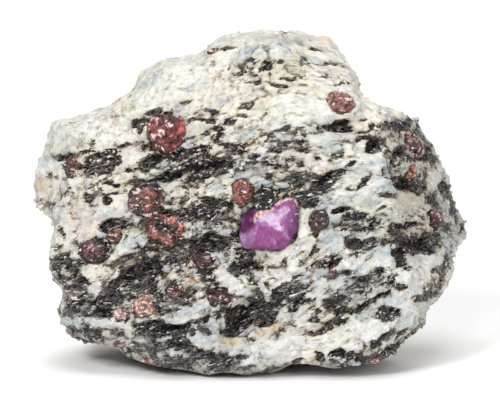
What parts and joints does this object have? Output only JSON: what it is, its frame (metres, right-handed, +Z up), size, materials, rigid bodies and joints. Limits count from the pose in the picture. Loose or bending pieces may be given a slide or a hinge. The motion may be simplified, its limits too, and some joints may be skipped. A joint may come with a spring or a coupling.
{
  "type": "ruby in matrix",
  "caption": "Broken block of garnet gneiss with one flat-faced ruby crystal in its front, standing on a level broken base.",
  "frame": {"origin": "centre of the bounding box in plan, at the level of the base it stands on", "axes": "+Z up, +X to the right along the broad front face, +Y away from that face into the rock"},
  "size_m": [0.0874, 0.0504, 0.0671],
  "materials": {
    "gneiss": "rough broken, white feldspar with flaky black mica",
    "ruby": "smooth crystal face, violet-magenta with frosty streaks",
    "garnet_red": "glossy fractured, brick red",
    "garnet_brown": "glossy fractured, purple brown",
    "garnet_dark": "glossy fractured, dark maroon",
    "garnet_pink": "satin, altered to pale pink"
  },
  "bodies": {
    "root": {"gneiss_matrix": "gneiss", "ruby_crystal": "ruby", "garnet_upper_left": "garnet_red", "garnet_upper_right": "garnet_red", "garnet_middle_left": "garnet_brown", "garnet_above_ruby": "garnet_red", "garnet_lower_left": "garnet_red", "garnet_far_left_low": "garnet_dark", "garnet_far_left_high": "garnet_brown", "garnet_foot_left": "garnet_pink", "garnet_foot_left_small": "garnet_pink", "garnet_foot_middle": "garnet_red", "garnet_below_ruby": "garnet_dark", "garnet_left_of_ruby": "garnet_dark", "garnet_right_of_ruby": "garnet_dark", "garnet_left_grain": "garnet_pink", "garnet_side_high": "garnet_brown", "garnet_side_middle": "garnet_red", "garnet_side_low": "garnet_red", "garnet_back_high": "garnet_brown", "garnet_back_middle": "garnet_red", "garnet_back_low": "garnet_dark", "garnet_back_right": "garnet_red", "garnet_left_end": "garnet_red"}
  },
  "joints": []
}
